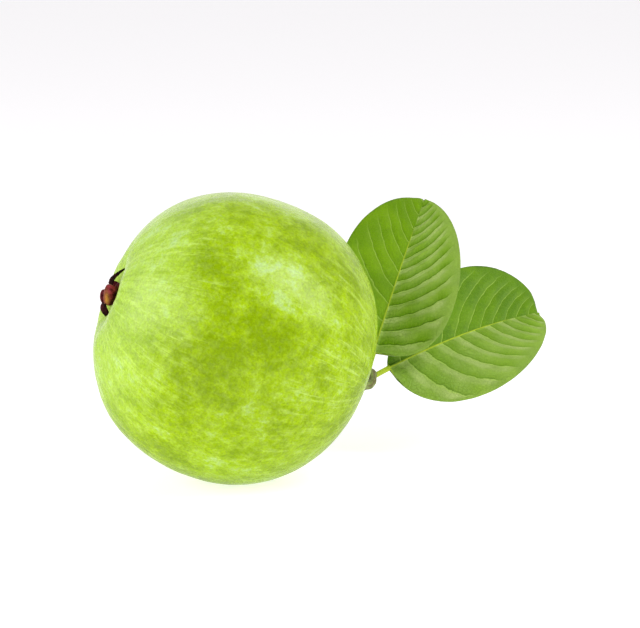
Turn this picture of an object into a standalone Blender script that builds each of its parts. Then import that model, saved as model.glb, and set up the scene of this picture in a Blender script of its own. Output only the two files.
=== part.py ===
"""A whole guava at its real size: the fruit, its dried calyx, its stalk and the two leaves on the stalk.

Metres, +Z up. The fruit rests on a small flat spot whose centre is the origin. Seen from the front
(along +Y) the calyx is on the left and the stalk with its leaves is on the right, behind the fruit.
"""

import math

import bpy
import numpy as np

MM = 0.001

# The fruit: a turned superellipse, nearly as long from calyx to stalk as it is wide.
FRUIT_RADIUS = 49.0 * MM
FRUIT_HALF_LENGTH = 46.8 * MM
FRUIT_POWER = 2.22
FRUIT_SIDES = 72
FRUIT_RINGS = 44
POLE_CROWDING = 0.25
FRUIT_CENTRE = (-0.44 * MM, -0.25 * MM, 48.8 * MM)
AXIS_RISE = math.radians(21.5)
AXIS_TURN = math.radians(5.8)
FLAT_CUTTER_SIZE = 140.0 * MM

# The calyx end sinks in a round basin and the stalk end in a narrow dimple.
BASIN_DEPTH = 6.0 * MM
BASIN_REACH = 10.0 * MM
BASIN_POWER = 2.2
DIMPLE_DEPTH = 4.0 * MM
DIMPLE_REACH = 6.0 * MM
DIMPLE_POWER = 2.0

# Shallow ribs run out of the basin, and the whole skin has soft lumps.
RIB_HEIGHT = 0.45 * MM
# share of the height, ribs in a full turn and phase of each wave
RIB_WAVES = ((0.6, 5, 1.1), (0.4, 8, 2.3))
RIB_PEAK = math.radians(20.0)
RIB_REACH = math.radians(17.0)
# azimuth, depth, width round the axis, and the polar angle of the groove's middle and its reach
GROOVES = (
    (5.0, 2.1 * MM, 33.0, 14.0, 9.0),
    (160.0, 1.2 * MM, 22.0, 10.0, 5.5),
    (205.0, 1.6 * MM, 17.0, 12.0, 7.0),
    (276.0, 1.6 * MM, 32.0, 13.0, 8.0),
)
LUMP_HEIGHT = 0.07 * MM
LUMP_WAVES = 9
LUMP_PHASE_STEP = 5.1
LUMP_SHORTEST = 34.0 * MM
LUMP_LONGEST = 70.0 * MM
GOLDEN_ANGLE = math.radians(137.508)
GOLDEN_SHARE = 0.618

# The calyx: a low cup on the basin's floor and five dry sepals round its rim.
CUP_BASE_Z = 42.15 * MM
CUP_HEIGHT = 1.8 * MM
CUP_BASE_RADIUS = 3.4 * MM
CUP_RIM_RADIUS = 4.1 * MM
CUP_WALL = 1.5 * MM
CUP_FLOOR = 1.0 * MM
CUP_FLOOR_RADIUS = 2.3 * MM
CUP_SIDES = 40
MERGE_DISTANCE = 0.001 * MM
SEPAL_THICKNESS = 0.65 * MM
SEPAL_TWIST_POWER = 1.3
SEPAL_TIP_HALF_WIDTH = 0.3 * MM
SEPAL_ROWS = 9
SEPAL_COLUMNS = 6
# Azimuths of root and tip round the fruit's axis, half width, how much narrower the tip is and how late
# the blade narrows, how much higher the tip's far side is, the twist at root and tip, and the middle
# line's four control points in millimetres as radius from the axis and height along it.
SEPALS = {
    "near": {
        "azimuths": (-97.0, -95.0),
        "half_width": 3.9 * MM,
        "taper": 0.85,
        "bluntness": 8.0,
        "slant": 1.0 * MM,
        "twist": (0.0, 0.0),
        "midline": ((3.9, 43.1), (5.1, 44.5), (5.5, 46.2), (4.8, 47.5)),
    },
    "upper": {
        "azimuths": (-49.0, -14.0),
        "half_width": 2.6 * MM,
        "taper": 0.9,
        "bluntness": 0.4,
        "slant": 0.0,
        "twist": (35.0, 52.0),
        "midline": ((3.4, 43.2), (2.9, 47.5), (5.6, 47.0), (9.8, 43.6)),
    },
    "outer": {
        "azimuths": (132.0, 132.0),
        "half_width": 3.2 * MM,
        "taper": 0.9,
        "bluntness": 10.0,
        "slant": -1.0 * MM,
        "twist": (0.0, 0.0),
        "midline": ((3.8, 43.1), (4.7, 44.6), (5.1, 46.2), (4.9, 47.4)),
    },
    "far": {
        "azimuths": (48.0, 44.0),
        "half_width": 2.0 * MM,
        "taper": 0.9,
        "bluntness": 2.4,
        "slant": 0.0,
        "twist": (0.0, 0.0),
        "midline": ((3.7, 43.2), (4.4, 44.6), (4.2, 45.6), (3.4, 46.5)),
    },
    "lower": {
        "azimuths": (-146.0, -150.0),
        "half_width": 1.7 * MM,
        "taper": 0.4,
        "bluntness": 3.0,
        "slant": 0.0,
        "twist": (0.0, -45.0),
        "midline": ((3.5, 43.2), (4.1, 47.5), (6.3, 46.4), (8.0, 43.5)),
    },
}

# Stalk and leaves are laid out as the front view shows them: right, up and away from the fruit's
# centre, for a view that looks down by this angle.
VIEW_ELEVATION = math.radians(10.0)
STALK_BEVEL_STEPS = 4
STALK_RESOLUTION = 5
# right, up, away and radius along the stalk: out of the dimple, round the bend, leaf node, cut stub
STALK_POINTS = (
    (41.1 * MM, -15.3 * MM, 6.9 * MM, 2.0 * MM),
    (43.0 * MM, -16.0 * MM, 7.6 * MM, 1.5 * MM),
    (45.4 * MM, -16.3 * MM, 12.0 * MM, 1.4 * MM),
    (46.7 * MM, -15.1 * MM, 19.4 * MM, 1.5 * MM),
    (46.0 * MM, -12.8 * MM, 27.4 * MM, 2.5 * MM),
    (45.1 * MM, -14.5 * MM, 31.0 * MM, 1.9 * MM),
    (43.7 * MM, -16.9 * MM, 35.2 * MM, 1.8 * MM),
)

# The leaves: one formula, two sets of sizes. A pair of values is for the left and the right half.
PETIOLE_LENGTH = 6.0 * MM
PETIOLE_RADIUS = 0.95 * MM
PETIOLE_ROWS = 5
LEAF_THICKNESS = 0.7 * MM
MIDRIB_HEIGHT = 0.6 * MM
MIDRIB_FADE = 9.0 * MM
LEAF_ROWS = 72
LEAF_COLUMNS = 6
COLUMN_CROWDING = 1.4
BASE_STARTS = (0.0, 0.003, 0.009)
LEAF_TIP_SHARE = 0.985
PLEAT_CREST = 0.8
NOTCH_REACH = 0.03
FOLD_SOFTNESS = 3.0 * MM
EDGE_DROOP = 0.5 * MM
DROOP_WIDTH = 21.0 * MM
LEAVES = {
    "leaf_upper": {
        "length": 85.8 * MM,
        "half_width": (20.8 * MM, 22.5 * MM),
        "base_power": (0.53, 0.31),
        "tip_power": (0.58, 0.58),
        "vein_count": (10.0, 13.4),
        "vein_shift": (0.15, 0.36),
        "vein_crowd": (1.0, 1.0),
        "vein_lead": (0.92, 1.17),
        "vein_reach": (0.40, 0.70),
        "vein_bend": (0.27, 0.20),
        "vein_rise": (0.57, 0.60),
        "pleat": (0.5 * MM, 0.75 * MM),
        "notch": 0.5 * MM,
        "lean": (34.0, 50.0),
        "fold": 13.0,
        "roll": 6.0,
        "bow": -0.5 * MM,
        "heading": 70.8,
        "base": (46.0 * MM, -10.0 * MM, 29.0 * MM),
    },
    "leaf_lower": {
        "length": 98.8 * MM,
        "half_width": (22.3 * MM, 23.8 * MM),
        "base_power": (0.74, 0.42),
        "tip_power": (0.61, 0.73),
        "vein_count": (11.7, 10.5),
        "vein_shift": (0.15, 0.1),
        "vein_crowd": (1.0, 0.8),
        "vein_lead": (0.92, 0.63),
        "vein_reach": (0.40, 0.25),
        "vein_bend": (0.33, 0.24),
        "vein_rise": (0.74, 0.80),
        "pleat": (0.5 * MM, 0.8 * MM),
        "notch": 4.8 * MM,
        "lean": (41.0, 54.0),
        "fold": 14.0,
        "roll": 11.0,
        "bow": -2.7 * MM,
        "heading": 19.2,
        "base": (48.9 * MM, -12.7 * MM, 30.2 * MM),
    },
}

# name: colour and roughness
MATERIALS = {
    "guava_skin": ((0.43, 0.64, 0.06, 1.0), 0.38),
    "dry_calyx": ((0.07, 0.03, 0.015, 1.0), 0.7),
    "green_stalk": ((0.20, 0.22, 0.07, 1.0), 0.65),
    "guava_leaf": ((0.20, 0.37, 0.03, 1.0), 0.45),
}


def clear_scene():
    for item in list(bpy.data.objects):
        bpy.data.objects.remove(item, do_unlink=True)


def new_collection(name):
    made = bpy.data.collections.new(name)
    bpy.context.scene.collection.children.link(made)
    return made


def new_material(name, colour, roughness):
    made = bpy.data.materials.new(name)
    made.use_nodes = True
    shader = made.node_tree.nodes["Principled BSDF"]
    shader.inputs["Base Color"].default_value = colour
    shader.inputs["Roughness"].default_value = roughness
    shader.inputs["Metallic"].default_value = 0.0
    return made


def add_object(name, data, collection, parent=None, material=None):
    made = bpy.data.objects.new(name, data)
    collection.objects.link(made)
    made.parent = parent
    if material:
        data.materials.append(material)
    return made


def add_empty(name, collection, rotation):
    made = add_object(name, None, collection)
    made.location = FRUIT_CENTRE
    made.rotation_euler = rotation
    return made


def superellipse_radius(polar):
    across = np.abs(np.sin(polar)) / FRUIT_RADIUS
    along = np.abs(np.cos(polar)) / FRUIT_HALF_LENGTH
    return (across**FRUIT_POWER + along**FRUIT_POWER) ** (-1.0 / FRUIT_POWER)


def hollow(polar, radius, depth, reach, power):
    """Depth of a round hollow at the pole that polar is measured from."""
    off_axis = radius * np.sin(polar)
    return np.where(polar < math.pi / 2, depth * np.exp(-((off_axis / reach) ** power)), 0.0)


def ribs(polar, azimuth):
    near_basin = np.exp(-(((polar - RIB_PEAK) / RIB_REACH) ** 2))
    waves = sum(share * np.cos(count * azimuth + phase) for share, count, phase in RIB_WAVES)
    total = RIB_HEIGHT * near_basin * waves
    for where, depth, width, peak, reach in GROOVES:
        off_groove = (azimuth - math.radians(where) + math.pi) % (2.0 * math.pi) - math.pi
        across = np.exp(-((off_groove / math.radians(width)) ** 2))
        along = np.exp(-(((polar - math.radians(peak)) / math.radians(reach)) ** 2))
        total = total - depth * across * along
    return total


def lumps(points):
    """Soft lumps: a few long waves whose directions are spread evenly over the sphere."""
    total = np.zeros(len(points))
    for number in range(LUMP_WAVES):
        share = (number + 0.5) / LUMP_WAVES
        height = 1.0 - 2.0 * share
        ring = math.sqrt(1.0 - height * height)
        turn = number * GOLDEN_ANGLE
        direction = np.array([ring * math.cos(turn), ring * math.sin(turn), height])
        wavelength = LUMP_SHORTEST + (LUMP_LONGEST - LUMP_SHORTEST) * ((number * GOLDEN_SHARE) % 1.0)
        total += np.sin(points @ direction * 2.0 * math.pi / wavelength + LUMP_PHASE_STEP * number)
    return LUMP_HEIGHT * total


def fruit_surface(directions):
    """Points of the skin along unit directions in the fruit's own axes, +Z through the calyx."""
    polar = np.arccos(np.clip(directions[:, 2], -1.0, 1.0))
    azimuth = np.arctan2(directions[:, 1], directions[:, 0])
    radius = superellipse_radius(polar)
    radius = radius + ribs(polar, azimuth) + lumps(directions * radius[:, None])
    points = directions * radius[:, None]
    points[:, 2] -= hollow(polar, radius, BASIN_DEPTH, BASIN_REACH, BASIN_POWER)
    points[:, 2] += hollow(math.pi - polar, radius, DIMPLE_DEPTH, DIMPLE_REACH, DIMPLE_POWER)
    return points


def crowd_poles(directions):
    """The same directions with more rings near both poles, where the hollows are."""
    polar = np.arccos(np.clip(directions[:, 2], -1.0, 1.0))
    azimuth = np.arctan2(directions[:, 1], directions[:, 0])
    polar = polar - POLE_CROWDING * np.sin(2.0 * polar)
    ring = np.sin(polar)
    return np.stack([ring * np.cos(azimuth), ring * np.sin(azimuth), np.cos(polar)], axis=1)


def mesh_points(mesh):
    points = np.empty(len(mesh.vertices) * 3)
    mesh.vertices.foreach_get("co", points)
    return points.reshape(-1, 3)


def make_fruit(collection, cutters, parent, material):
    """The fruit, cut flat where it rests."""
    bpy.ops.mesh.primitive_uv_sphere_add(segments=FRUIT_SIDES, ring_count=FRUIT_RINGS, radius=1.0)
    ball = bpy.context.active_object
    mesh = ball.data
    points = fruit_surface(crowd_poles(mesh_points(mesh)))
    mesh.vertices.foreach_set("co", points.ravel())
    mesh.name = "fruit"
    bpy.data.objects.remove(ball)
    fruit = add_object("fruit", mesh, collection, parent, material)
    mesh.shade_smooth()
    bpy.ops.mesh.primitive_cube_add(size=FLAT_CUTTER_SIZE)
    ground = bpy.context.active_object
    ground.name = "resting_plane_cutter"
    ground.location = (0.0, 0.0, -FLAT_CUTTER_SIZE / 2.0)
    for holder in list(ground.users_collection):
        holder.objects.unlink(ground)
    cutters.objects.link(ground)
    ground.display_type = "WIRE"
    ground.hide_render = True
    cut = fruit.modifiers.new("flat_spot", "BOOLEAN")
    cut.operation = "DIFFERENCE"
    cut.object = ground


def blade_mesh(name, top, bottom):
    """A closed blade between two grids of points: rows along it, columns from edge to edge.

    Both faces are split into triangles along the same diagonal, and a strip closes the rim.
    """
    rows, columns = top.shape[:2]
    points = np.concatenate([top.reshape(-1, 3), bottom.reshape(-1, 3)])
    under = rows * columns

    def spot(row, column):
        return row * columns + column

    faces = []
    for row in range(rows - 1):
        for column in range(columns - 1):
            a, b = spot(row, column), spot(row, column + 1)
            c, d = spot(row + 1, column + 1), spot(row + 1, column)
            faces += [(a, b, c), (a, c, d)]
            faces += [(under + c, under + b, under + a), (under + d, under + c, under + a)]
    rim = [spot(0, column) for column in range(columns)]
    rim += [spot(row, columns - 1) for row in range(1, rows)]
    rim += [spot(rows - 1, column) for column in range(columns - 2, -1, -1)]
    rim += [spot(row, 0) for row in range(rows - 2, 0, -1)]
    for here, after in zip(rim, rim[1:] + rim[:1]):
        faces += [(here, under + here, under + after), (here, under + after, after)]
    mesh = bpy.data.meshes.new(name)
    mesh.from_pydata(points.tolist(), [], faces)
    mesh.validate()
    mesh.shade_smooth()
    return mesh


def grid_normals(points):
    """Unit normals of a grid of points, on the side where columns turn left from rows."""
    along = np.gradient(points, axis=0)
    across = np.gradient(points, axis=1)
    normals = np.cross(across, along)
    return normals / np.linalg.norm(normals, axis=2, keepdims=True)


def bezier(points, share):
    """Points of a cubic curve at a column of shares of the way along it."""
    first, second, third, last = (np.array(point) for point in points)
    rest = 1.0 - share
    return rest**3 * first + 3.0 * rest**2 * share * second + 3.0 * rest * share**2 * third + share**3 * last


def sepal_mesh(name, sepal):
    """One dry sepal in the fruit's axes: it stands on the cup, follows its middle line and narrows."""
    share = np.linspace(0.0, 1.0, SEPAL_ROWS)[:, None]
    side = np.linspace(-1.0, 1.0, SEPAL_COLUMNS)
    line = bezier(sepal["midline"], share) * MM
    along = np.gradient(line, axis=0)
    along /= np.linalg.norm(along, axis=1, keepdims=True)
    width = sepal["half_width"] * (1.0 - sepal["taper"] * share ** sepal["bluntness"])
    width = np.maximum(width, SEPAL_TIP_HALF_WIDTH)
    root_twist, tip_twist = (math.radians(value) for value in sepal["twist"])
    twist = root_twist + (tip_twist - root_twist) * share**SEPAL_TWIST_POWER
    tilt = width * np.sin(twist) * side
    first, last = sepal["azimuths"]
    turn = np.radians(first + (last - first) * share) + width * np.cos(twist) / line[:, :1] * side
    radius = line[:, :1] - tilt * along[:, 1:]
    slope = sepal["slant"] * width / sepal["half_width"]
    heights = line[:, 1:] + tilt * along[:, :1] + slope * share * side
    points = np.stack([radius * np.cos(turn), radius * np.sin(turn), heights], axis=2)
    outward = np.cos(twist) * along[:, 1:]
    round_axis = np.sin(twist)
    normals = np.stack([
        outward * np.cos(turn) - round_axis * np.sin(turn),
        outward * np.sin(turn) + round_axis * np.cos(turn),
        np.broadcast_to(-np.cos(twist) * along[:, :1], turn.shape),
    ], axis=2)
    half = normals * SEPAL_THICKNESS / 2.0
    return blade_mesh(name, points + half, points - half)


def cup_mesh():
    """The cup's profile: out along its hollow floor, over the rim and down to the foot."""
    rim_z = CUP_BASE_Z + CUP_HEIGHT
    inner = CUP_RIM_RADIUS - CUP_WALL
    profile = (
        (0.0, CUP_BASE_Z + CUP_FLOOR),
        (CUP_FLOOR_RADIUS, CUP_BASE_Z + CUP_FLOOR),
        (inner, rim_z),
        (CUP_RIM_RADIUS, rim_z),
        (CUP_BASE_RADIUS, CUP_BASE_Z),
        (0.0, CUP_BASE_Z),
    )
    mesh = bpy.data.meshes.new("cup")
    edges = [(number, number + 1) for number in range(len(profile) - 1)]
    mesh.from_pydata([(radius, 0.0, z) for radius, z in profile], edges, [])
    return mesh


def turned(item, sides):
    screw = item.modifiers.new("turn", "SCREW")
    screw.steps = sides
    screw.render_steps = sides
    screw.use_merge_vertices = True
    screw.merge_threshold = MERGE_DISTANCE
    screw.use_normal_calculate = True


def make_calyx(collection, parent, material):
    """The cup with its sepals joined on."""
    calyx = add_object("calyx", cup_mesh(), collection, parent, material)
    turned(calyx, CUP_SIDES)
    sepals = new_collection("sepals")
    for name, sepal in SEPALS.items():
        blade = add_object("sepal_" + name, sepal_mesh("sepal_" + name, sepal), sepals, parent)
        blade.display_type = "WIRE"
        blade.hide_render = True
    join = calyx.modifiers.new("sepals", "BOOLEAN")
    join.operation = "UNION"
    join.operand_type = "COLLECTION"
    join.collection = sepals


def make_stalk(collection, parent, material):
    """The stalk: one smooth tube that swells at the leaf node and ends in a cut stub."""
    curve = bpy.data.curves.new("stalk", "CURVE")
    curve.dimensions = "3D"
    curve.resolution_u = STALK_RESOLUTION
    curve.bevel_depth = MM
    curve.bevel_resolution = STALK_BEVEL_STEPS
    curve.use_fill_caps = True
    spline = curve.splines.new("BEZIER")
    spline.bezier_points.add(len(STALK_POINTS) - 1)
    for point, (right, up, away, radius) in zip(spline.bezier_points, STALK_POINTS):
        point.co = (right, away, up)
        point.radius = radius / MM
        point.handle_left_type = "AUTO"
        point.handle_right_type = "AUTO"
    add_object("stalk", curve, collection, parent, material)


def half_width(leaf, share, side):
    """Half the blade's width at a share of its length, zero at the tip."""
    base_power, tip_power = leaf["base_power"][side], leaf["tip_power"][side]
    widest = base_power / (base_power + tip_power)
    share = np.clip(share, 0.0, 1.0)
    form = (share / widest) ** base_power * ((1.0 - share) / (1.0 - widest)) ** tip_power
    return PETIOLE_RADIUS * (1.0 - share) + leaf["half_width"][side] * form


def blade_point(leaf, start, out, side):
    """Where a vein that starts at a share of the midrib has come to, on the flat blade."""
    blade = leaf["length"] - PETIOLE_LENGTH
    lead = leaf["vein_lead"][side] * (1.0 - np.exp(-start / leaf["vein_reach"][side]))
    share = start + lead * (1.0 - start)
    rib_x = start * (blade - leaf["notch"])
    edge_x = share * blade - leaf["notch"] * np.exp(-(1.0 - share) / NOTCH_REACH)
    edge_y = half_width(leaf, share, side)
    bend_x = rib_x + leaf["vein_bend"][side] * (edge_x - rib_x)
    bend_y = leaf["vein_rise"][side] * edge_y
    x = (1.0 - out) ** 2 * rib_x + 2.0 * out * (1.0 - out) * bend_x + out**2 * edge_x
    y = 2.0 * out * (1.0 - out) * bend_y + out**2 * edge_y
    return PETIOLE_LENGTH + x, y


def arched(leaf, x):
    """Distance along and away, and the lean, at distances along the midrib's arc."""
    first, last = (math.radians(value) for value in leaf["lean"])
    bend = (last - first) / leaf["length"]
    lean = first + bend * x
    along = (np.sin(lean) - math.sin(first)) / bend
    away = (math.cos(first) - np.cos(lean)) / bend
    return along, away, lean


def bent_point(leaf, x, y, side):
    """The flat blade's point in the front view: the halves fold up to the viewer, the rib arches back."""
    along, away, lean = arched(leaf, x)
    sign = -1.0 if side == 0 else 1.0
    fold = math.radians(leaf["fold"])
    roll = math.radians(leaf["roll"]) * sign
    folded = (np.sqrt(y**2 + FOLD_SOFTNESS**2) - FOLD_SOFTNESS) * math.sin(fold)
    lift = folded + y * math.sin(roll) - EDGE_DROOP * (y / DROOP_WIDTH) ** 2
    share = x / leaf["length"]
    off = sign * y * math.cos(fold + roll) + leaf["bow"] * 4.0 * share * (1.0 - share)
    along = along + lift * np.sin(lean)
    away = away - lift * np.cos(lean)
    heading = math.radians(leaf["heading"])
    right = leaf["base"][0] + along * math.cos(heading) + off * math.sin(heading)
    up = leaf["base"][1] + along * math.sin(heading) - off * math.cos(heading)
    return np.stack([right, leaf["base"][2] + away, up], axis=-1)


def pleat(leaf, start, out, side):
    """Height of the blade between its sunken veins, none on the midrib and little at the edge."""
    count = leaf["vein_count"][side]
    phase = count * (1.0 - (1.0 - start) ** leaf["vein_crowd"][side]) + leaf["vein_shift"][side]
    wave = np.sin(math.pi * phase) ** 2 * np.sin(math.pi * out**PLEAT_CREST)
    return leaf["pleat"][side] * wave * np.minimum(1.0, 2.0 * start * count)


def leaf_half(leaf, side):
    """Middle surface, flat width and pleat height of one half, petiole first, midrib to edge."""
    out = np.linspace(0.0, 1.0, LEAF_COLUMNS + 1) ** COLUMN_CROWDING
    starts = np.linspace(BASE_STARTS[-1], LEAF_TIP_SHARE, LEAF_ROWS)
    starts = np.concatenate([BASE_STARTS[:-1], starts])
    start, reach = np.meshgrid(starts, out, indexing="ij")
    x, y = blade_point(leaf, start, reach, side)
    lift = pleat(leaf, start, reach, side)
    stem_x = np.linspace(0.0, PETIOLE_LENGTH, PETIOLE_ROWS + 1)[:-1]
    stem_x, stem_y = np.meshgrid(stem_x, out * PETIOLE_RADIUS, indexing="ij")
    x = np.concatenate([stem_x, x])
    y = np.concatenate([stem_y, y])
    lift = np.concatenate([np.zeros_like(stem_x), lift])
    return bent_point(leaf, x, y, side), x, y, lift


def rib_swelling(x, y):
    """Extra half thickness of the petiole and, below it, of the midrib."""
    arch = np.sqrt(np.clip(1.0 - (y / PETIOLE_RADIUS) ** 2, 0.0, 1.0))
    petiole = PETIOLE_RADIUS - LEAF_THICKNESS / 2.0
    fade = np.exp(-np.clip(x - PETIOLE_LENGTH, 0.0, None) / MIDRIB_FADE)
    upper = petiole * fade * arch
    lower = np.maximum(petiole * fade, MIDRIB_HEIGHT * (1.0 - x / x.max())) * arch
    return upper, lower


def leaf_mesh(name, leaf):
    left, left_x, left_y, left_lift = leaf_half(leaf, 0)
    right, right_x, right_y, right_lift = leaf_half(leaf, 1)
    middle = np.concatenate([left[:, ::-1], right[:, 1:]], axis=1)
    x = np.concatenate([left_x[:, ::-1], right_x[:, 1:]], axis=1)
    y = np.concatenate([left_y[:, ::-1], right_y[:, 1:]], axis=1)
    lift = np.concatenate([left_lift[:, ::-1], right_lift[:, 1:]], axis=1)
    normals = grid_normals(middle)
    upper, lower = rib_swelling(x, y)
    top = middle + normals * (lift + LEAF_THICKNESS / 2.0 + upper)[:, :, None]
    bottom = middle + normals * (lift - LEAF_THICKNESS / 2.0 - lower)[:, :, None]
    return blade_mesh(name, top, bottom)


def main():
    clear_scene()
    guava = new_collection("guava")
    cutters = new_collection("cutters")
    materials = {name: new_material(name, *look) for name, look in MATERIALS.items()}
    fruit_axes = add_empty("fruit_axes", guava, (0.0, AXIS_RISE - math.pi / 2.0, AXIS_TURN))
    front_view = add_empty("front_view", guava, (-VIEW_ELEVATION, 0.0, 0.0))
    make_fruit(guava, cutters, fruit_axes, materials["guava_skin"])
    make_calyx(guava, fruit_axes, materials["dry_calyx"])
    make_stalk(guava, front_view, materials["green_stalk"])
    for name, leaf in LEAVES.items():
        add_object(name, leaf_mesh(name, leaf), guava, front_view, materials["guava_leaf"])


main()
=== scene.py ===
"""The looks of a whole guava with its dried calyx, its stalk and two leaves, on a pale floor.

Every piece follows the formulas of the CAD solid that it replaces, with finer faces, finer relief and
thinner rims, and its vertices are world coordinates in metres. The sizes below are in millimetres where
nothing else is said, and colours are linear red, green and blue.
"""

import math

import bpy
import numpy as np
from mathutils import Euler, Matrix, Vector, noise

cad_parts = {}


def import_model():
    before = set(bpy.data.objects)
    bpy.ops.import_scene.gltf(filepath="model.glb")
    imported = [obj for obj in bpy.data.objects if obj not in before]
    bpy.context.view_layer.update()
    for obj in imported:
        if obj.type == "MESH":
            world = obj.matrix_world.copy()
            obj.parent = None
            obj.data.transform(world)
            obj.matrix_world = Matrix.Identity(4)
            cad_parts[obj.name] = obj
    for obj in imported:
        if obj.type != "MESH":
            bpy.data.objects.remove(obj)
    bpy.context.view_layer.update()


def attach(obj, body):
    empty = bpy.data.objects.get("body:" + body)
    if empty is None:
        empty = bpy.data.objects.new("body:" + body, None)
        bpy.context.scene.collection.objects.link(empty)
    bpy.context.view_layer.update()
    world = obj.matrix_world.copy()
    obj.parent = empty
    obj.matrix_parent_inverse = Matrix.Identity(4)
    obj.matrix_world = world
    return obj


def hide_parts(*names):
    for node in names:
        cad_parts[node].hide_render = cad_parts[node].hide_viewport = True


MM = 0.001

# The fruit's form, as in the CAD but with more sides and rings.
FRUIT_RADIUS = 49.0
FRUIT_HALF_LENGTH = 46.8
FRUIT_POWER = 2.22
FRUIT_SIDES = 288
FRUIT_RINGS = 260
POLE_CROWDING = 0.25
FRUIT_CENTRE = np.array([-0.44, -0.25, 48.8])
AXIS_RISE = math.radians(21.5)
AXIS_TURN = math.radians(5.8)
BASIN_DEPTH = 6.0
BASIN_REACH = 10.0
BASIN_POWER = 2.2
DIMPLE_DEPTH = 4.0
DIMPLE_REACH = 6.0
DIMPLE_POWER = 2.0
RIB_HEIGHT = 0.45
RIB_WAVES = ((0.6, 5, 1.1), (0.4, 8, 2.3))
RIB_PEAK = math.radians(20.0)
RIB_REACH = math.radians(17.0)
# Each groove's azimuth, depth, width round the axis, the polar angle of its middle and its reach.
GROOVES = (
    (5.0, 2.1, 33.0, 14.0, 9.0),
    (160.0, 1.2, 22.0, 10.0, 5.5),
    (205.0, 1.6, 17.0, 12.0, 7.0),
    (276.0, 1.6, 32.0, 13.0, 8.0),
)
LUMP_HEIGHT = 0.07
LUMP_WAVES = 9
LUMP_PHASE_STEP = 5.1
LUMP_SHORTEST = 34.0
LUMP_LONGEST = 70.0
GOLDEN_ANGLE = math.radians(137.508)
GOLDEN_SHARE = 0.618

# Wavelength, seed and height of each layer of the skin's pebbling, then its thin raised lines.
PEBBLES = ((9.0, 3.0, 0.12), (3.4, 4.0, 0.035))
LINE_COUNT = 19.0
LINE_WANDER = 2.5
LINE_SEED = 11.0
LINE_SHARPNESS = 6.0
LINE_HEIGHT = 0.06
LINE_START = 12.0
LINE_FULL = 34.0

# Pale and dark clouds of the skin: right and up of the fruit's centre as the front view sees them, how
# far they reach, and how much paler or darker they are. They are partly the skin's own blotches, partly
# a painted highlight where the softboxes reflect, and partly painted shade in the middle and on the right
# side.
SKIN_CLOUDS_AND_PAINTED_LIGHT = (
    (-25.0, 14.0, 10.0, 0.50),
    (-32.0, -8.0, 9.0, 0.35),
    (-26.0, 34.0, 12.0, 0.85),
    (19.0, 18.0, 11.0, 0.36),
    (11.0, 22.5, 7.0, 0.35),
    (-4.0, 35.0, 8.0, 0.45),
    (27.0, 9.0, 8.0, 0.35),
    (16.0, 7.0, 4.0, 0.35),
    (-5.0, 5.0, 3.5, 0.45),
    (-9.5, 26.0, 7.0, -0.65),
    (-1.0, 14.0, 8.0, -0.15),
    (-3.0, -3.0, 9.5, -1.4),
    (11.0, 0.0, 8.0, -0.75),
    (22.0, 1.0, 7.0, -0.65),
    (-16.0, -12.0, 6.0, -0.45),
    (5.0, 41.0, 5.0, -0.30),
    (18.0, 31.5, 6.0, -0.45),
    (38.0, 20.0, 10.0, -1.15),
    (-38.5, -4.0, 3.5, -0.60),
)

# The calyx follows the CAD, but its sepals are thinner with finer tips, and the upper one is wider.
CUP_BASE_Z = 42.15
# Radius and height above the base of the cup's section, from its middle over the rim to its foot.
CUP_SECTION = (
    (0.02, 1.3), (1.2, 1.1), (2.3, 1.0),
    (2.6, 1.55), (2.95, 1.85), (3.75, 1.8),
    (4.1, 1.45), (4.0, 0.5), (3.4, -0.5),
)
CUP_ROWS = 60
CUP_SIDES = 96
# Wavelength, seed and height of each layer of the cup's roughness, and where it is at full strength.
CUP_ROUGHNESS = ((0.9, 2.0, 0.16), (2.4, 7.0, 0.25))
CUP_ROUGH_RADIUS = 2.0
SEPAL_TWIST_POWER = 1.3
SEPAL_TIP_HALF_WIDTH = 0.15
# Azimuths of root and tip round the fruit's axis, half width, how much narrower the tip is and how late
# the blade narrows, how far the side rims curl up, how much higher the tip's far side is, the twist at
# root and tip, how dark it is, and the middle line's four control points: radius from the axis, height.
# A curl, slant or twist that isn't given is none.
SEPALS = {
    "near": {
        "azimuths": (-97.0, -95.0),
        "half_width": 3.9,
        "taper": 0.85,
        "bluntness": 8.0,
        "slant": 1.0,
        "dark": 0.0,
        "midline": ((3.9, 43.1), (5.1, 44.5), (5.5, 46.2), (4.8, 47.5)),
    },
    "upper": {
        "azimuths": (-49.0, -14.0),
        "half_width": 3.1,
        "taper": 0.9,
        "bluntness": 0.5,
        "curl": 0.1,
        "twist": (35.0, 52.0),
        "dark": 0.96,
        "midline": ((3.4, 43.2), (2.9, 47.5), (5.6, 47.0), (9.8, 43.6)),
    },
    "outer": {
        "azimuths": (132.0, 132.0),
        "half_width": 3.2,
        "taper": 0.9,
        "bluntness": 10.0,
        "slant": -1.0,
        "dark": 0.45,
        "midline": ((3.8, 43.1), (4.7, 44.6), (5.1, 46.2), (4.9, 47.4)),
    },
    "far": {
        "azimuths": (48.0, 44.0),
        "half_width": 2.0,
        "taper": 0.9,
        "bluntness": 2.4,
        "dark": 0.6,
        "midline": ((3.7, 43.2), (4.4, 44.6), (4.2, 45.6), (3.4, 46.5)),
    },
    "lower": {
        "azimuths": (-146.0, -150.0),
        "half_width": 1.7,
        "taper": 0.4,
        "bluntness": 3.0,
        "curl": 0.1,
        "twist": (0.0, -45.0),
        "dark": 0.9,
        "midline": ((3.5, 43.2), (4.1, 47.5), (6.3, 46.4), (8.0, 43.5)),
    },
}
CUP_DARK = 0.25
# The orange place on the near sepal, in the fruit's own axes, its reach and its slope.
CALYX_WARM_SPOT = (-2.0, -5.0, 45.75)
CALYX_WARM_REACH = (3.0, 3.0, 1.1)
CALYX_WARM_RISE = 0.4
SEPAL_ROWS = 30
SEPAL_COLUMNS = 25
SEPAL_THICKNESS = 0.6
SEPAL_SIDE_THINNING = 0.55
SEPAL_TIP_THINNING = 0.35
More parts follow.
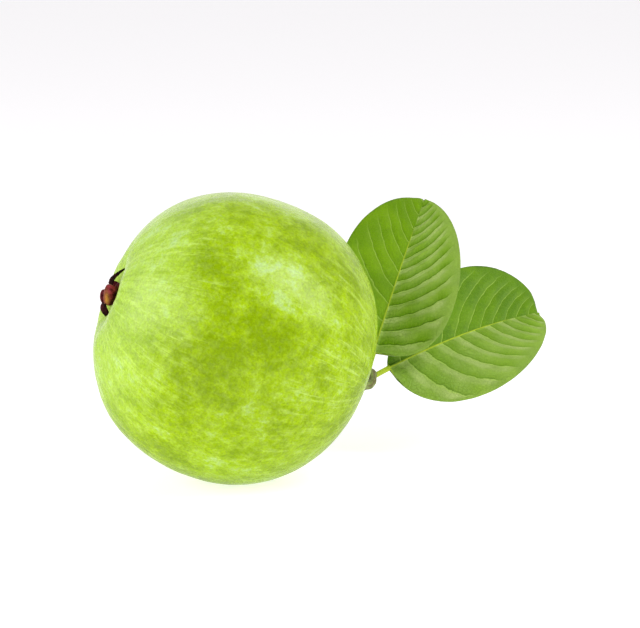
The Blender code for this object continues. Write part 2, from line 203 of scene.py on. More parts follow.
# Wrinkles over a sepal's half width and its length, and their height.
WRINKLES_ACROSS = 3.2
WRINKLES_ALONG = 1.2
WRINKLE_HEIGHT = 0.2
# Wavelength, seed and height of a sepal's crumpling.
CRUMPLE = ((1.6, 5.0, 0.16),)

# Stalk and leaves are laid out right, up and away from the fruit's centre, seen from the front.
VIEW_ELEVATION = math.radians(10.0)
# Right, up and away of each point of the stalk's course, and its radius there.
STALK_POINTS = (
    (39.4, -14.8, 6.5, 2.1),
    (41.1, -15.3, 6.9, 2.0),
    (43.0, -16.0, 7.6, 1.5),
    (45.4, -16.3, 12.0, 1.4),
    (46.7, -15.1, 19.4, 1.5),
    (46.0, -12.8, 27.4, 2.5),
    (45.1, -14.5, 31.0, 1.9),
    (43.7, -16.9, 35.2, 1.8),
)
STALK_SIDES = 48
STALK_STEPS = 18
BARK_WAVES_ROUND = 2.2
BARK_WAVES_ALONG = 6.0
BARK_SEED = 4.0
BARK_HEIGHT = 0.09
# The cut end's rim as a share of the stalk's radius, and how far its rim and its middle stand out.
CUT_RIM_SHARE = 0.86
CUT_RIM_RISE = 0.15
CUT_MIDDLE_RISE = 0.02

PETIOLE_LENGTH = 6.0
PETIOLE_RADIUS = 0.95
PETIOLE_ROWS = 14
PETIOLE_ROOT = 1.4
LEAF_THICKNESS = 0.5
LEAF_RIM_SHARPNESS = 12.0
LEAF_RIM_SHARE = 0.25
MIDRIB_HEIGHT = 0.75
MIDRIB_FADE = 9.0
MIDRIB_TIP_WIDTH = 0.12
MIDRIB_WIDENING = 0.26
MIDRIB_LINE_HEIGHT = 0.22
MIDRIB_GROOVE_WIDTH = 1.7
MIDRIB_GROOVE_DEPTH = 0.3
# Shares of the leaf's length between which the pale colour of the midrib fades.
RIB_COLOUR_END = (0.62, 0.92)
VEIN_WIDTH = 0.05
VEIN_SINK = 0.10
LOWER_VEIN_HEIGHT = 0.22
# Wavelength, seed and height of each layer of the blade's uneven surface.
QUILTING = ((2.6, 1.0, 0.15), (9.0, 6.0, 0.35))
LEAF_ROWS = 220
LEAF_COLUMNS = 36
COLUMN_CROWDING = 1.5
BASE_STARTS = (0.0, 0.0015, 0.003, 0.006, 0.010)
LEAF_TIP_SHARE = 0.993
PLEAT_CREST = 0.8
NOTCH_REACH = 0.03
FOLD_SOFTNESS = 3.0
EDGE_DROOP = 0.5
DROOP_WIDTH = 21.0
HALF_SIGNS = (-1.0, 1.0)
# Pairs are for the left and the right half, but "lean" is for the base and the tip. The midrib leans
# from the picture's plane, the halves fold and roll about it, and it bows and heads in that plane.
LEAVES = {
    "leaf_upper": {
        "length": 85.8,
        "half_width": (20.8, 22.5),
        "base_power": (0.53, 0.31),
        "tip_power": (0.58, 0.58),
        "vein_count": (10.0, 13.4),
        "vein_shift": (0.15, 0.36),
        "vein_crowd": (1.0, 1.0),
        "vein_lead": (0.92, 1.17),
        "vein_reach": (0.40, 0.70),
        "vein_bend": (0.27, 0.20),
        "vein_rise": (0.57, 0.60),
        "pleat": (0.5, 0.75),
        # How much greyish painted sheen each half shows where it faces the light.
        "bloom": (0.06, 1.06),
        "contrast": (0.4, 1.0),
        # How much painted shade darkens each half.
        "depth": (0.0, 0.0),
        "notch": 0.5,
        "lean": (34.0, 50.0),
        "fold": 13.0,
        "roll": 6.0,
        "bow": -0.5,
        "heading": 70.8,
        "base": (46.0, -10.0, 29.0),
    },
    "leaf_lower": {
        "length": 98.8,
        "half_width": (22.3, 23.8),
        "base_power": (0.74, 0.42),
        "tip_power": (0.61, 0.73),
        "vein_count": (11.7, 10.5),
        "vein_shift": (0.15, 0.1),
        "vein_crowd": (1.0, 0.8),
        "vein_lead": (0.92, 0.63),
        "vein_reach": (0.40, 0.25),
        "vein_bend": (0.33, 0.24),
        "vein_rise": (0.74, 0.80),
        "pleat": (0.5, 0.8),
        "bloom": (0.12, 0.95),
        "contrast": (0.45, 0.55),
        "depth": (0.9, 0.0),
        "notch": 4.8,
        "lean": (41.0, 54.0),
        "fold": 14.0,
        "roll": 11.0,
        "bow": -2.7,
        "heading": 19.2,
        "base": (48.9, -12.7, 30.2),
    },
}

# Marks of the skin that run to its poles: how many in a radian, and how long.
SKIN_SMEARS = (8.0, 9.0)
SKIN_STREAKS = (30.0, 12.0)
SKIN_THREADS = (13.0, 45.0)

# Where colours of the skin and the calyx fade in: heights along the fruit's axis, radii round it, and
# places across it. Those for the basin and for the sepals' feet place painted shade down in the basin
# round the calyx.
STREAK_HEIGHTS = (6.0, 30.0)
CALYX_END_HEIGHTS = (16.0, 44.0)
BASIN_SHADE_HEIGHTS = (0.0, 30.0)
BASIN_SHADE_RADII = (10.5, 7.0)
FOOT_SHADE_HEIGHTS = (44.6, 43.9)
FOOT_SHADE_ACROSS = (3.5, 1.5)
RIM_HEIGHTS = (44.8, 46.2)

# Colours of the skin.
SKIN_DEEP = (0.252, 0.40, 0.0)
SKIN_PALE = (0.45, 0.67, 0.02)
# The palest green is partly the skin's waxy bloom and partly a painted highlight, bluish white where the
# softboxes reflect.
SKIN_WAX_AND_PAINTED_HIGHLIGHT = (0.52, 0.74, 0.29)
SKIN_CALYX_END = (0.50, 0.76, 0.16)
SKIN_LIGHT_STREAK = (0.62, 0.86, 0.16)
SKIN_DARK_STREAK = (0.24, 0.40, 0.001)
SKIN_THREAD = (0.60, 0.84, 0.20)
# Painted shade on the basin's wall round the calyx.
SKIN_BASIN_SHADE = (0.19, 0.30, 0.004)
SKIN_DOT = (0.60, 0.80, 0.14)

# Colours of the calyx.
SEPAL_MAROON = (0.17, 0.017, 0.023)
SEPAL_RED = (0.46, 0.056, 0.088)
SEPAL_BROWN = (0.36, 0.12, 0.05)
SEPAL_ORANGE = (0.64, 0.28, 0.05)
SEPAL_DRIED = (0.010, 0.002, 0.001)
# Painted shade at the sepals' feet, down in the basin.
SEPAL_FOOT_SHADE = (0.014, 0.002, 0.002)
SEPAL_FIBRE = (0.018, 0.004, 0.002)
SEPAL_RIM = (0.42, 0.20, 0.15)

# Colours of the stalk and its cut end.
BARK_DARK = (0.15, 0.19, 0.04)
BARK_PALE = (0.27, 0.33, 0.09)
BARK_FURROW = (0.14, 0.10, 0.04)
BARK_DOT = (0.42, 0.38, 0.22)
WOOD_DARK = (0.40, 0.31, 0.15)
WOOD_PALE = (0.56, 0.48, 0.28)

# Colours of the leaves' upper face, then of their lower one.
LEAF_DARK = (0.145, 0.31, 0.0)
LEAF_PALE = (0.205, 0.40, 0.001)
# Painted shade on a leaf half that faces away from the light.
LEAF_HALF_SHADE = (0.09, 0.225, 0.009)
# Painted sheen: greyish waxy sheen where a half or a panel's slope faces the light.
LEAF_PAINTED_SHEEN = (0.49, 0.635, 0.19)
# Painted shade on each panel's down-facing side.
LEAF_PANEL_SHADE = (0.14, 0.30, 0.0)
LEAF_RIPPLE = (0.10, 0.235, 0.0)
LEAF_RUNG = (0.33, 0.50, 0.05)
LEAF_WEB = (0.27, 0.45, 0.02)
LEAF_GRAIN = (0.11, 0.26, 0.0)
LEAF_VEIN = (0.38, 0.58, 0.09)
LEAF_VEIN_SHADE = (0.06, 0.15, 0.0)
LEAF_MIDRIB = (0.46, 0.60, 0.035)
UNDER_DARK = (0.22, 0.37, 0.08)
UNDER_PALE = (0.30, 0.46, 0.13)
UNDER_WEB = (0.38, 0.52, 0.19)
UNDER_VEIN = (0.46, 0.60, 0.22)
UNDER_MIDRIB = (0.50, 0.60, 0.24)

# The stage. The floor's reach and the lights' sizes are in metres.
FLOOR_REACH = 6.0
FLOOR_DARK = (0.60, 0.59, 0.605)
FLOOR_PALE = (0.63, 0.62, 0.635)
FLOOR_GLOW = (1.0, 0.985, 1.0, 1.0)
FLOOR_GLOW_STRENGTH = 0.72
SURROUND_COLOUR = (1.0, 0.99, 1.0, 1.0)
SOFTBOX_DISTANCE = 1.0
# Each light stands right, up and toward the viewer of the fruit, and its length points another way.
SOFTBOXES = {
    "left_softbox": {
        "toward": (-0.84, 0.36, 0.40),
        "along": (-0.35, 0.1, -0.9),
        "size": (0.6, 1.4),
        "power": 9.0,
    },
    "right_softbox": {
        "toward": (0.70, 0.58, 0.38),
        "along": (0.66, -0.68, -0.28),
        "size": (0.34, 0.9),
        "power": 7.5,
    },
}

# Camera: right and up of the fruit's centre that the picture's middle looks at, and its distance.
CAMERA_AIM = (28.9, 8.2)
CAMERA_DISTANCE = 1200.0
CAMERA_LENS = 199.3
SENSOR_WIDTH = 36.0
CAMERA_CLIP_END = 50.0


# Geometry helpers


def fruit_axes():
    """Rotation from the fruit's own axes, +Z through the calyx, to the world's."""
    return np.array(Euler((0.0, AXIS_RISE - math.pi / 2.0, AXIS_TURN)).to_matrix())


def from_fruit_axes(points):
    return points @ fruit_axes().T + FRUIT_CENTRE


def from_front_view(points):
    """Right, away and up of the fruit's centre as the front view sees it, as world millimetres."""
    right, away, up = points[..., 0], points[..., 1], points[..., 2]
    sine, cosine = math.sin(VIEW_ELEVATION), math.cos(VIEW_ELEVATION)
    world = np.stack([right, away * cosine + up * sine, up * cosine - away * sine], axis=-1)
    return world + FRUIT_CENTRE


def speckle(points, wavelength, seed=0.0):
    """Smooth noise about zero at points in millimetres."""
    shift = Vector((seed, -seed, 2.0 * seed))
    values = [noise.noise(Vector(point) / wavelength + shift) for point in points.reshape(-1, 3)]
    return np.array(values).reshape(points.shape[:-1])


def bell(off, width):
    """A smooth bump: 1 in its middle, and a good third of that one width away."""
    return np.exp(-((off / width) ** 2))


def full_turn(sides):
    """Angles of this many equal steps round an axis."""
    return np.arange(sides) * 2.0 * math.pi / sides


def layered(points, layers):
    """Sum of layers of noise, each given by its wavelength, its seed and its height."""
    return sum(height * speckle(points, wavelength, seed) for wavelength, seed, height in layers)


def make_piece(name, points, faces, materials, attributes, face_materials=None):
    """A smooth mesh object with its vertices in world metres and the named vertex attributes."""
    mesh = bpy.data.meshes.new(name)
    mesh.from_pydata((points * MM).tolist(), [], faces)
    for material in materials:
        mesh.materials.append(material)
    if face_materials is not None:
        mesh.polygons.foreach_set("material_index", face_materials)
    for key, values in attributes.items():
        values = np.asarray(values, dtype=np.float32)
        kind, field = ("FLOAT_VECTOR", "vector") if values.ndim == 2 else ("FLOAT", "value")
        made = mesh.attributes.new(key, kind, "POINT")
        made.data.foreach_set(field, values.ravel())
    mesh.shade_smooth()
    mesh.update()
    piece = bpy.data.objects.new(name, mesh)
    bpy.context.scene.collection.objects.link(piece)
    return piece


def dress(piece, slot, *nodes):
    """The piece rides on the object's one body and stands for these CAD nodes."""
    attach(piece, "root")
    if nodes:
        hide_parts(*nodes)


def grid_faces(rows, columns, offset=0, flipped=False, closed=False):
    """Quads of a grid of points; a closed grid joins its last column to its first."""
    faces = []
    for row in range(rows - 1):
        for column in range(columns if closed else columns - 1):
            after = (column + 1) % columns
            here, beside = offset + row * columns + column, offset + row * columns + after
            face = (here, beside, beside + columns, here + columns)
            faces.append(face[::-1] if flipped else face)
    return faces


def rim_indices(rows, columns):
    rim = list(range(columns))
    rim += [row * columns + columns - 1 for row in range(1, rows)]
    rim += [(rows - 1) * columns + column for column in range(columns - 2, -1, -1)]
    rim += [row * columns for row in range(rows - 2, 0, -1)]
    return rim


def blade_faces(rows, columns):
    """Faces of a blade between a top grid and a bottom grid, and how many of them are on top."""
    under = rows * columns
    top = grid_faces(rows, columns)
    bottom = grid_faces(rows, columns, under, flipped=True)
    rim = rim_indices(rows, columns)
    strip = [(here, under + here, under + after, after) for here, after in zip(rim, rim[1:] + rim[:1])]
    return top + strip + bottom, len(top) + len(strip)


def grid_normals(points):
    along = np.gradient(points, axis=0)
    across = np.gradient(points, axis=1)
    normals = np.cross(across, along)
    return normals / np.linalg.norm(normals, axis=2, keepdims=True)


# The fruit


def superellipse_radius(polar):
    across = np.abs(np.sin(polar)) / FRUIT_RADIUS
    along = np.abs(np.cos(polar)) / FRUIT_HALF_LENGTH
    return (across**FRUIT_POWER + along**FRUIT_POWER) ** (-1.0 / FRUIT_POWER)


def hollow(polar, radius, depth, reach, power):
    off_axis = radius * np.sin(polar)
    return np.where(polar < math.pi / 2, depth * np.exp(-((off_axis / reach) ** power)), 0.0)


def ribs(polar, azimuth):
    near_basin = bell(polar - RIB_PEAK, RIB_REACH)
    waves = sum(share * np.cos(count * azimuth + phase) for share, count, phase in RIB_WAVES)
    total = RIB_HEIGHT * near_basin * waves
    for where, depth, width, peak, reach in GROOVES:
        off_groove = (azimuth - math.radians(where) + math.pi) % (2.0 * math.pi) - math.pi
        across = bell(off_groove, math.radians(width))
        along = bell(polar - math.radians(peak), math.radians(reach))
        total = total - depth * across * along
    return total


def lumps(points):
    total = np.zeros(len(points))
    for number in range(LUMP_WAVES):
        share = (number + 0.5) / LUMP_WAVES
        height = 1.0 - 2.0 * share
        ring = math.sqrt(1.0 - height * height)
        turn = number * GOLDEN_ANGLE
        direction = np.array([ring * math.cos(turn), ring * math.sin(turn), height])
        wavelength = LUMP_SHORTEST + (LUMP_LONGEST - LUMP_SHORTEST) * ((number * GOLDEN_SHARE) % 1.0)
        total += np.sin(points @ direction * 2.0 * math.pi / wavelength + LUMP_PHASE_STEP * number)
    return LUMP_HEIGHT * total


def skin_clouds_and_painted_light(points):
    """How much paler or darker the placed clouds, partly painted highlight and shade, make each point of
    the fruit, given in its own axes.
    """
    total = np.zeros(len(points))
    for right, up, reach, paler in SKIN_CLOUDS_AND_PAINTED_LIGHT:
        near = math.sqrt(max(FRUIT_RADIUS**2 - right**2 - up**2, 0.0))
        spot = (from_front_view(np.array([right, -near, up])) - FRUIT_CENTRE) @ fruit_axes()
        off = points - spot
        total += paler * np.exp(-np.sum(off * off, axis=1) / reach**2)
    return total


def fine_relief(points, polar, azimuth):
    """Pebbling all over, and thin raised lines that run to the two poles."""
    lanes = [np.cos(azimuth) * LINE_COUNT, np.sin(azimuth) * LINE_COUNT, LINE_WANDER * polar]
    lines = speckle(np.stack(lanes, axis=1), 1.0, LINE_SEED)
    ridge = np.clip(1.0 - np.abs(lines) * LINE_SHARPNESS, 0.0, 1.0)
    polar_share = np.clip((np.abs(points[:, 2]) - LINE_START) / (LINE_FULL - LINE_START), 0.0, 1.0)
    return layered(points, PEBBLES) + LINE_HEIGHT * ridge * polar_share * np.sin(polar) ** 0.5


def fruit_points():
    """Points of the skin in the fruit's own axes, ring by ring from the calyx pole."""
    steps = np.linspace(0.0, math.pi, FRUIT_RINGS + 2)
    polar = steps - POLE_CROWDING * np.sin(2.0 * steps)
    azimuth = full_turn(FRUIT_SIDES)
    polar, azimuth = np.meshgrid(polar, azimuth, indexing="ij")
    polar, azimuth = polar.ravel(), azimuth.ravel()
    ring = np.sin(polar)
    directions = np.stack([ring * np.cos(azimuth), ring * np.sin(azimuth), np.cos(polar)], axis=1)
    radius = superellipse_radius(polar)
    smooth = directions * radius[:, None]
    radius = radius + ribs(polar, azimuth) + lumps(smooth) + fine_relief(smooth, polar, azimuth)
    points = directions * radius[:, None]
    points[:, 2] -= hollow(polar, radius, BASIN_DEPTH, BASIN_REACH, BASIN_POWER)
    points[:, 2] += hollow(math.pi - polar, radius, DIMPLE_DEPTH, DIMPLE_REACH, DIMPLE_POWER)
    return points


def make_fruit(material):
    own = fruit_points()
    inner = own[FRUIT_SIDES:-FRUIT_SIDES]
    own = np.concatenate([inner, own[:1], own[-1:]])
    world = from_fruit_axes(own)
    world[:, 2] = np.maximum(world[:, 2], 0.0)
    faces = grid_faces(FRUIT_RINGS, FRUIT_SIDES, flipped=True, closed=True)
    north = FRUIT_RINGS * FRUIT_SIDES
    south = north + 1
    last = north - FRUIT_SIDES
    for side in range(FRUIT_SIDES):
        after = (side + 1) % FRUIT_SIDES
        faces.append((side, after, north))
        faces.append((last + after, last + side, south))
    # The placed clouds ride on the paler attribute: partly blotches, partly painted highlight and painted
    # shade.
    attributes = {"own_mm": own, "paler": skin_clouds_and_painted_light(own)}
    piece = make_piece("guava_fruit", world, faces, [material], attributes)
    dress(piece, "skin", "fruit")


# The calyx


def bezier(points, share):
    """Points of a cubic curve at a column of shares of the way along it."""
    first, second, third, last = (np.array(point) for point in points)
    rest = 1.0 - share
    start = rest**3 * first + 3.0 * rest**2 * share * second
    return start + 3.0 * rest * share**2 * third + share**3 * last


def sepal_grid(sepal):
    """Middle surface of a sepal in the fruit's axes, and each point's share of its length and width."""
    share = np.linspace(0.0, 1.0, SEPAL_ROWS)[:, None]
    side = np.linspace(-1.0, 1.0, SEPAL_COLUMNS)
    line = bezier(sepal["midline"], share)
    along = np.gradient(line, axis=0)
    along /= np.linalg.norm(along, axis=1, keepdims=True)
    width = sepal["half_width"] * (1.0 - sepal["taper"] * share ** sepal["bluntness"])
    width = np.maximum(width, SEPAL_TIP_HALF_WIDTH)
    root_twist, tip_twist = (math.radians(value) for value in sepal.get("twist", (0.0, 0.0)))
    twist = root_twist + (tip_twist - root_twist) * share**SEPAL_TWIST_POWER
    tilt = width * np.sin(twist) * side
    first, last = sepal["azimuths"]
    turn = np.radians(first + (last - first) * share) + width * np.cos(twist) / line[:, :1] * side
    radius = line[:, :1] - tilt * along[:, 1:]
    slope = sepal.get("slant", 0.0) * width / sepal["half_width"]
    heights = line[:, 1:] + tilt * along[:, :1] + slope * share * side
    heights = heights + sepal.get("curl", 0.0) * (1.0 - share) * side**2
    points = np.stack([radius * np.cos(turn), radius * np.sin(turn), heights], axis=2)
    share, side = np.broadcast_arrays(share, side)
    return points, share, side


def warmth(points):
    """How close each point is to the calyx's orange place, from 0 to 1."""
    from_spot = points - np.array(CALYX_WARM_SPOT)
    from_spot[:, 2] -= CALYX_WARM_RISE * from_spot[:, 0]
    from_spot = from_spot / np.array(CALYX_WARM_REACH)
    return np.exp(-np.sum(from_spot * from_spot, axis=1))


def make_sepal(name, sepal, material):
    points, share, side = sepal_grid(sepal)
    normals = grid_normals(points)
    lanes = np.stack([side * WRINKLES_ACROSS, share * WRINKLES_ALONG, np.zeros_like(side)], axis=-1)
    wrinkles = WRINKLE_HEIGHT * speckle(lanes, 1.0, sepal["azimuths"][0])
    points = points + normals * (wrinkles + layered(points, CRUMPLE))[:, :, None]
    edge = 1.0 - SEPAL_SIDE_THINNING * np.abs(side) ** 3 - SEPAL_TIP_THINNING * share**3
    half = normals * (SEPAL_THICKNESS / 2.0 * edge)[:, :, None]
    both = np.concatenate([(points + half).reshape(-1, 3), (points - half).reshape(-1, 3)])
    faces = blade_faces(SEPAL_ROWS, SEPAL_COLUMNS)[0]
    attributes = {
        "own_mm": both,
        "warm": warmth(both),
        "dark": np.full(len(both), sepal["dark"]),
        "share": np.tile(share.ravel(), 2),
        "side": np.tile(side.ravel(), 2),
    }
    return make_piece("sepal_" + name, from_fruit_axes(both), faces, [material], attributes)


def make_cup(material):
    """The cup that holds the sepals, with an uneven rim and a fibrous floor."""
    section = np.array(CUP_SECTION)
    spot = np.linspace(0.0, len(section) - 1.0, CUP_ROWS)
    radius = np.interp(spot, np.arange(len(section)), section[:, 0])
    height = np.interp(spot, np.arange(len(section)), CUP_BASE_Z + section[:, 1])
    turn = full_turn(CUP_SIDES)
    points = np.stack([
        radius[:, None] * np.cos(turn),
        radius[:, None] * np.sin(turn),
        np.repeat(height[:, None], CUP_SIDES, axis=1),
    ], axis=2)
    rough = np.clip(radius / CUP_ROUGH_RADIUS, 0.0, 1.0)
    points[:, :, 2] += layered(points, CUP_ROUGHNESS) * rough[:, None]
    points = points.reshape(-1, 3)
    faces = grid_faces(CUP_ROWS, CUP_SIDES, closed=True)
    faces.append(tuple(range(CUP_SIDES))[::-1])
    faces.append(tuple((CUP_ROWS - 1) * CUP_SIDES + side for side in range(CUP_SIDES)))
    nothing = np.zeros(len(points))
    attributes = {
        "own_mm": points,
        "warm": nothing,
        "dark": np.full(len(points), CUP_DARK),
        "share": nothing,
        "side": nothing,
    }
    return make_piece("calyx_cup", from_fruit_axes(points), faces, [material], attributes)


def make_calyx(material):
    cup = make_cup(material)
    dress(cup, "calyx", "calyx")
    for name, sepal in SEPALS.items():
        dress(make_sepal(name, sepal, material), "calyx")


# The stalk


def catmull_rom(points, steps):
    """Points on the smooth curve through the given points, ends included."""
    padded = np.concatenate([[2.0 * points[0] - points[1]], points, [2.0 * points[-1] - points[-2]]])
    curve = []
    for number in range(len(points) - 1):
        before, start, end, after = padded[number : number + 4]
        for step in range(steps):
            t = step / steps
            curve.append(
                0.5 * (2.0 * start + (end - before) * t
                + (2.0 * before - 5.0 * start + 4.0 * end - after) * t**2
                + (3.0 * start - before - 3.0 * end + after) * t**3)
            )
    curve.append(points[-1])
    return np.array(curve)


def tube_grid(curve, radius, sides):
    """Rings of points round a curve, without twist, with a radius for each point."""
    tangents = np.gradient(curve, axis=0)
    tangents /= np.linalg.norm(tangents, axis=1, keepdims=True)
    normal = np.cross(tangents[0], [0.0, 0.0, 1.0])
    turn = full_turn(sides)
    rings = []
    for spot, tangent, size in zip(curve, tangents, radius):
        normal = normal - tangent * np.dot(normal, tangent)
        normal /= np.linalg.norm(normal)
        side = np.cross(tangent, normal)
        ring = normal[None, :] * np.cos(turn)[:, None] + side[None, :] * np.sin(turn)[:, None]
        rings.append(spot + ring * size[:, None])
    return np.array(rings)


def cut_end(centre, ring):
    """The rim of the cut face, drawn in from the last ring, and the middle of that face."""
    tangent = centre[-1] - centre[-2]
    tangent /= np.linalg.norm(tangent)
    rim = centre[-1] + (ring - centre[-1]) * CUT_RIM_SHARE + tangent * CUT_RIM_RISE
    middle = centre[-1] + tangent * CUT_MIDDLE_RISE
    return np.concatenate([rim, middle[None, :]])


def make_stalk(material):
    curve = catmull_rom(np.array(STALK_POINTS), STALK_STEPS)
    centre = from_front_view(curve[:, [0, 2, 1]])
    turn = full_turn(STALK_SIDES)
    along = np.linspace(0.0, 1.0, len(curve))[:, None] * BARK_WAVES_ALONG
    lanes = np.broadcast_arrays(np.cos(turn) * BARK_WAVES_ROUND, np.sin(turn) * BARK_WAVES_ROUND, along)
    bark = speckle(np.stack(lanes, axis=-1), 1.0, BARK_SEED)
    rings = tube_grid(centre, curve[:, 3:4] * (1.0 + BARK_HEIGHT * bark), STALK_SIDES)
    points = np.concatenate([rings.reshape(-1, 3), cut_end(centre, rings[-1])])
    rows = len(curve) + 1
    faces = grid_faces(rows, STALK_SIDES, flipped=True, closed=True)
    last, middle = (rows - 1) * STALK_SIDES, rows * STALK_SIDES
    for side in range(STALK_SIDES):
        faces.append((last + side, last + (side + 1) % STALK_SIDES, middle))
    faces.append(tuple(range(STALK_SIDES)))
    wood = np.zeros(len(points))
    wood[last:] = 1.0
    bark = np.concatenate([bark.ravel(), np.zeros(STALK_SIDES + 1)])
    piece = make_piece("guava_stalk", points, faces, [material], {"cut": wood, "ridge": bark})
    dress(piece, "stalk", "stalk")


# The leaves


def half_width(leaf, share, side):
    base_power, tip_power = leaf["base_power"][side], leaf["tip_power"][side]
    widest = base_power / (base_power + tip_power)
    share = np.clip(share, 0.0, 1.0)
    form = (share / widest) ** base_power * ((1.0 - share) / (1.0 - widest)) ** tip_power
    return PETIOLE_RADIUS * (1.0 - share) + leaf["half_width"][side] * form


def blade_point(leaf, start, out, side):
    """Where a vein that starts at a share of the midrib has come to, on the flat blade."""
    blade = leaf["length"] - PETIOLE_LENGTH
    lead = leaf["vein_lead"][side] * (1.0 - np.exp(-start / leaf["vein_reach"][side]))
    share = start + lead * (1.0 - start)
    rib_x = start * (blade - leaf["notch"])
    edge_x = share * blade - leaf["notch"] * np.exp(-(1.0 - share) / NOTCH_REACH)
    edge_y = half_width(leaf, share, side)
    bend_x = rib_x + leaf["vein_bend"][side] * (edge_x - rib_x)
    bend_y = leaf["vein_rise"][side] * edge_y
    x = (1.0 - out) ** 2 * rib_x + 2.0 * out * (1.0 - out) * bend_x + out**2 * edge_x
    y = 2.0 * out * (1.0 - out) * bend_y + out**2 * edge_y
    return PETIOLE_LENGTH + x, y


def bent_point(leaf, x, y, side):
    """The flat blade's point in the front view: the halves fold up to the viewer, the rib arches back."""
    first, last = (math.radians(value) for value in leaf["lean"])
    bend = (last - first) / leaf["length"]
    lean = first + bend * x
    along = (np.sin(lean) - math.sin(first)) / bend
    away = (math.cos(first) - np.cos(lean)) / bend
    sign = HALF_SIGNS[side]
    fold = math.radians(leaf["fold"])
    roll = math.radians(leaf["roll"]) * sign
    folded = (np.sqrt(y**2 + FOLD_SOFTNESS**2) - FOLD_SOFTNESS) * math.sin(fold)
    lift = folded + y * math.sin(roll) - EDGE_DROOP * (y / DROOP_WIDTH) ** 2
    share = x / leaf["length"]
    off = sign * y * math.cos(fold + roll) + leaf["bow"] * 4.0 * share * (1.0 - share)
    along = along + lift * np.sin(lean)
    away = away - lift * np.cos(lean)
    heading = math.radians(leaf["heading"])
    right = leaf["base"][0] + along * math.cos(heading) + off * math.sin(heading)
    up = leaf["base"][1] + along * math.sin(heading) - off * math.cos(heading)
    return np.stack([right, leaf["base"][2] + away, up], axis=-1)


def vein_phase(leaf, start, side):
    """Veins passed on the way from the leaf's base to a share of the midrib: whole on each vein."""
    along = 1.0 - (1.0 - start) ** leaf["vein_crowd"][side]
    return leaf["vein_count"][side] * along + leaf["vein_shift"][side]


def leaf_half(leaf, side):
    """Grids of one half, petiole first, midrib to edge: middle surface and what each point is."""
    out = np.linspace(0.0, 1.0, LEAF_COLUMNS + 1) ** COLUMN_CROWDING
    starts = np.linspace(BASE_STARTS[-1], LEAF_TIP_SHARE, LEAF_ROWS)
    starts = np.concatenate([BASE_STARTS[:-1], starts])
    start, reach = np.meshgrid(starts, out, indexing="ij")
    x, y = blade_point(leaf, start, reach, side)
    stem_x = np.linspace(-PETIOLE_ROOT, PETIOLE_LENGTH, PETIOLE_ROWS + 1)[:-1]
    stem_x, stem_y = np.meshgrid(stem_x, out * PETIOLE_RADIUS, indexing="ij")
    x = np.concatenate([stem_x, x])
    y = np.concatenate([stem_y, y])
    phase = np.concatenate([np.full_like(stem_x, 0.5), vein_phase(leaf, start, side)])
    on_blade = np.clip(start * leaf["vein_count"][side] * 2.0, 0.0, 1.0)
    on_blade = np.concatenate([np.zeros_like(stem_x), on_blade])
    reach = np.concatenate([np.zeros_like(stem_x), reach])
    grid = {
        "middle": bent_point(leaf, x, y, side), "x": x, "y": y, "phase": phase,
        "on_blade": on_blade, "out": reach, "side": np.full_like(x, HALF_SIGNS[side]),
    }
    for key in ("pleat", "bloom", "contrast", "depth"):
        grid[key] = np.full_like(x, leaf[key][side])
    return grid


def leaf_grids(leaf):
    left, right = leaf_half(leaf, 0), leaf_half(leaf, 1)
    return {key: np.concatenate([left[key][:, ::-1], right[key][:, 1:]], axis=1) for key in left}


def leaf_heights(grid, flat, midrib):
    """Heights of the upper and the lower face over the middle surface, before the rims are thinned."""
    x, y, out = grid["x"], grid["y"], grid["out"]
    phase, on_blade = grid["phase"], grid["on_blade"]
    vein = bell(phase - np.round(phase), VEIN_WIDTH) * (1.0 - out**3) * on_blade
    panel = np.sin(math.pi * phase) ** 2 * np.sin(math.pi * out**PLEAT_CREST) * on_blade
    arch = np.sqrt(np.clip(1.0 - (y / PETIOLE_RADIUS) ** 2, 0.0, 1.0))
    fade = np.exp(-np.clip(x - PETIOLE_LENGTH, 0.0, None) / MIDRIB_FADE)
    petiole = (PETIOLE_RADIUS - LEAF_THICKNESS / 2.0) * fade
    lower_rib = np.maximum(petiole, MIDRIB_HEIGHT * (1.0 - x / x.max())) * arch
    lift = grid["pleat"] * panel + layered(flat, QUILTING) * out * on_blade
    groove = MIDRIB_GROOVE_DEPTH * bell(y, MIDRIB_GROOVE_WIDTH)
    upper_rib = petiole * arch + (MIDRIB_LINE_HEIGHT * midrib - groove) * on_blade
    top = lift + LEAF_THICKNESS / 2.0 + upper_rib - VEIN_SINK * vein
    bottom = lift - LEAF_THICKNESS / 2.0 - lower_rib - LOWER_VEIN_HEIGHT * vein
    return top, bottom


